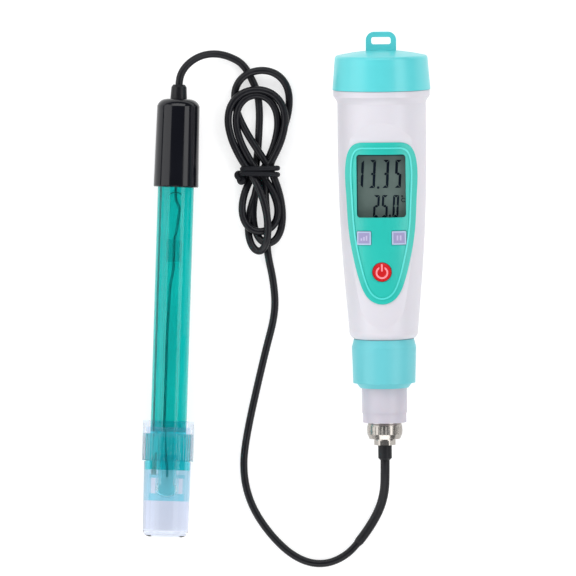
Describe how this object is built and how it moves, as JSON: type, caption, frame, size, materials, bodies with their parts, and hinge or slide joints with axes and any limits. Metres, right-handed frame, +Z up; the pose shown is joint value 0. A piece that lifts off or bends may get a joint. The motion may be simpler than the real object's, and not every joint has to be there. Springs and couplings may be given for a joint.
{
  "type": "ph meter",
  "caption": "Pen-type pH meter with display, keys and lanyard cap, joined by a hanked cord and a bayonet plug to a clear-shafted electrode in its storage bottle.",
  "frame": {"origin": "on the bench, under the middle of the meter and the electrode, which lie side by side", "axes": "+Y from the bottle end to the lanyard loop, +Z up off the bench, +X from the electrode to the meter"},
  "size_m": [0.1154, 0.2144, 0.0396],
  "materials": {
    "body_plastic": "satin",
    "cap_plastic": "satin",
    "panel_plastic": "satin",
    "bead_plastic": "satin",
    "adapter_plastic": "satin",
    "lcd": "gloss",
    "lcd_ink": "gloss",
    "key_rubber": "satin",
    "power_red": "gloss",
    "icon_ink": "satin",
    "board": "satin",
    "chip_black": "satin",
    "inner_plastic": "satin",
    "steel": "satin",
    "nickel": "gloss",
    "brass": "satin",
    "ptfe": "satin",
    "seal_rubber": "satin",
    "zebra_rubber": "satin",
    "cord_black": "satin",
    "black_gloss": "gloss",
    "shaft_clear": "gloss",
    "clear_plastic": "gloss",
    "guard_clear": "gloss",
    "glass": "gloss",
    "potting": "satin",
    "seal_silicone": "satin",
    "wire_dark": "satin",
    "ceramic": "satin"
  },
  "bodies": {
    "base": {"adapter_seal": "seal_rubber", "adapter_tube": "adapter_plastic", "battery_carrier": "inner_plastic", "battery_contacts": "nickel", "bnc_jack": "nickel", "board_chips": "chip_black", "board_screws": "steel", "body_shell": "body_plastic", "button_cells": "steel", "cable_sleeve": "cord_black", "cable_tie": "cord_black", "cord_hank": "cord_black", "cord_lead": "cord_black", "cord_tail": "cord_black", "electrode_cap": "black_gloss", "electrode_shaft": "shaft_clear", "front_panel": "panel_plastic", "glass_bulb": "glass", "glass_stem": "glass", "heat_shrink": "cord_black", "jack_contact": "brass", "jack_insulator": "ptfe", "lcd_glass": "lcd", "lcd_holder": "inner_plastic", "lcd_segments": "lcd_ink", "main_board": "board", "panel_bead": "bead_plastic", "plug_body": "nickel", "plug_insulator": "ptfe", "plug_pin": "brass", "reference_junction": "ceramic", "reference_wire": "wire_dark", "shaft_plug": "potting", "signal_wire": "wire_dark", "stem_seal": "seal_silicone", "strain_relief": "cord_black", "tact_switches": "inner_plastic", "tip_guard": "guard_clear", "zebra_strips": "zebra_rubber"},
    "cap_gasket": {"cap_gasket": "seal_rubber"},
    "battery_cap": {"battery_cap": "cap_plastic", "battery_pad": "seal_rubber"},
    "collar_washer": {"collar_washer": "seal_rubber"},
    "collar": {"collar": "cap_plastic"},
    "bnc_nut": {"bnc_nut": "nickel"},
    "cal_key": {"cal_key": "key_rubber"},
    "hold_key": {"hold_key": "key_rubber"},
    "power_button": {"power_button": "power_red", "power_icon": "icon_ink"},
    "bottle_cap": {"bottle_cap": "clear_plastic", "bottle_seal": "seal_silicone"},
    "bottle_gasket": {"bottle_gasket": "seal_silicone"},
    "storage_bottle": {"storage_bottle": "clear_plastic"}
  },
  "joints": [
    {"name": "cap_lift", "type": "slide", "parent": "base", "child": "cap_gasket", "axis": [-0.0103, 0.9978, 0.0654], "range_m": [0, 0.0046]},
    {"name": "cap_turn", "type": "hinge", "parent": "cap_gasket", "child": "battery_cap", "pos_m": [0.03796, 0.0776, 0.01955], "axis": [-0.0103, 0.9978, 0.0654], "range_deg": [0, 540]},
    {"name": "collar_drop", "type": "slide", "parent": "base", "child": "collar_washer", "axis": [0.0103, -0.9978, -0.0654], "range_m": [0, 0.0046]},
    {"name": "collar_turn", "type": "hinge", "parent": "collar_washer", "child": "collar", "pos_m": [0.03909, -0.03216, 0.01235], "axis": [0.0103, -0.9978, -0.0654], "range_deg": [0, 540]},
    {"name": "nut_turn", "type": "hinge", "parent": "base", "child": "bnc_nut", "pos_m": [0.03934, -0.05611, 0.01078], "axis": [0.0103, -0.9978, -0.0654], "range_deg": [0, 90]},
    {"name": "cal_press", "type": "slide", "parent": "base", "child": "cal_key", "axis": [0.0429, 0.0658, -0.9969], "range_m": [0, 0.0006], "stiffness_N_per_m": 400},
    {"name": "hold_press", "type": "slide", "parent": "base", "child": "hold_key", "axis": [0.0429, 0.0658, -0.9969], "range_m": [0, 0.0006], "stiffness_N_per_m": 400},
    {"name": "power_press", "type": "slide", "parent": "base", "child": "power_button", "axis": [0.0429, 0.0658, -0.9969], "range_m": [0, 0.0006], "stiffness_N_per_m": 400},
    {"name": "bottle_pull", "type": "slide", "parent": "base", "child": "bottle_cap", "axis": [-0.0307, -0.9994, 0.0134], "range_m": [0, 0.04]},
    {"name": "bottle_drop", "type": "slide", "parent": "bottle_cap", "child": "bottle_gasket", "axis": [-0.0307, -0.9994, 0.0134], "range_m": [0, 0.0046]},
    {"name": "bottle_turn", "type": "hinge", "parent": "bottle_gasket", "child": "storage_bottle", "pos_m": [-0.04756, -0.07114, 0.01047], "axis": [-0.0307, -0.9994, 0.0134], "range_deg": [0, 540]}
  ],
  "couplings": [
    {"joint": "cap_lift", "follows": "cap_turn", "m_per_rad": 0.00047746},
    {"joint": "collar_drop", "follows": "collar_turn", "m_per_rad": 0.00047746},
    {"joint": "bottle_drop", "follows": "bottle_turn", "m_per_rad": 0.00047746}
  ]
}
